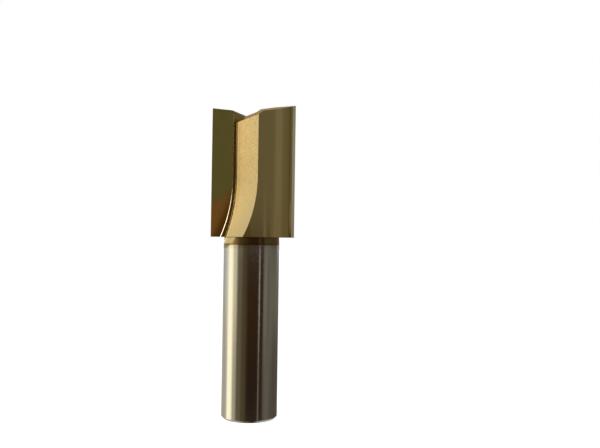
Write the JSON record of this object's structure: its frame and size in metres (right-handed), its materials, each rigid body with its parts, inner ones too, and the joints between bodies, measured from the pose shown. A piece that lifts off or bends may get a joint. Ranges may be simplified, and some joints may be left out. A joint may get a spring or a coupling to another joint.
{
  "type": "router bit",
  "caption": "Straight two-flute router bit: ground steel shank, coated fluted head with brazed carbide cutting tips.",
  "frame": {"origin": "centre of the shank's flat end face", "axes": "+Z along the bit's axis, from the shank's end towards the cutting end; X along the rake faces"},
  "size_m": [0.0194, 0.019, 0.071],
  "materials": {
    "steel": "ground bright shank; head and neck under a satin gold coating",
    "coated_carbide": "ground and polished carbide under a thin gold coating"
  },
  "bodies": {
    "root": {"steel_body": "steel", "carbide_tip_a": "coated_carbide", "carbide_tip_b": "coated_carbide"}
  },
  "joints": []
}
